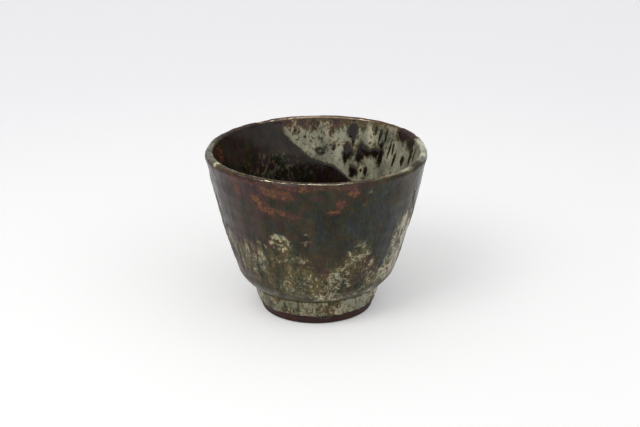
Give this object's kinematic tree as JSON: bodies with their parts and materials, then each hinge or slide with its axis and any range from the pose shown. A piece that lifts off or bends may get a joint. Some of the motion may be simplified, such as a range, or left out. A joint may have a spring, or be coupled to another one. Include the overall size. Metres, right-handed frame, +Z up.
{
  "type": "tea bowl",
  "caption": "Round handleless stoneware tea bowl with a flaring wall on a narrow foot ring, dark iron glaze run over pale ash glaze; it holds a drink and stands on its foot.",
  "frame": {"origin": "centre of the plane that the foot ring stands on", "axes": "+Z up along the bowl's axis, -Y towards the picture's viewer, +X to the viewer's right"},
  "size_m": [0.1102, 0.1096, 0.0839],
  "materials": {
    "stoneware": "matte",
    "slip": "matte",
    "bare_foot": "matte",
    "ash_glaze": "gloss",
    "iron_glaze": "gloss"
  },
  "bodies": {
    "root": {"clay_bowl": "stoneware", "luting_slip": "slip", "foot_ring": "bare_foot", "ash_glaze_inside": "ash_glaze", "ash_glaze_outside": "ash_glaze", "ash_glaze_foot": "ash_glaze", "iron_glaze_outside": "iron_glaze", "iron_glaze_inside": "iron_glaze"}
  },
  "joints": []
}
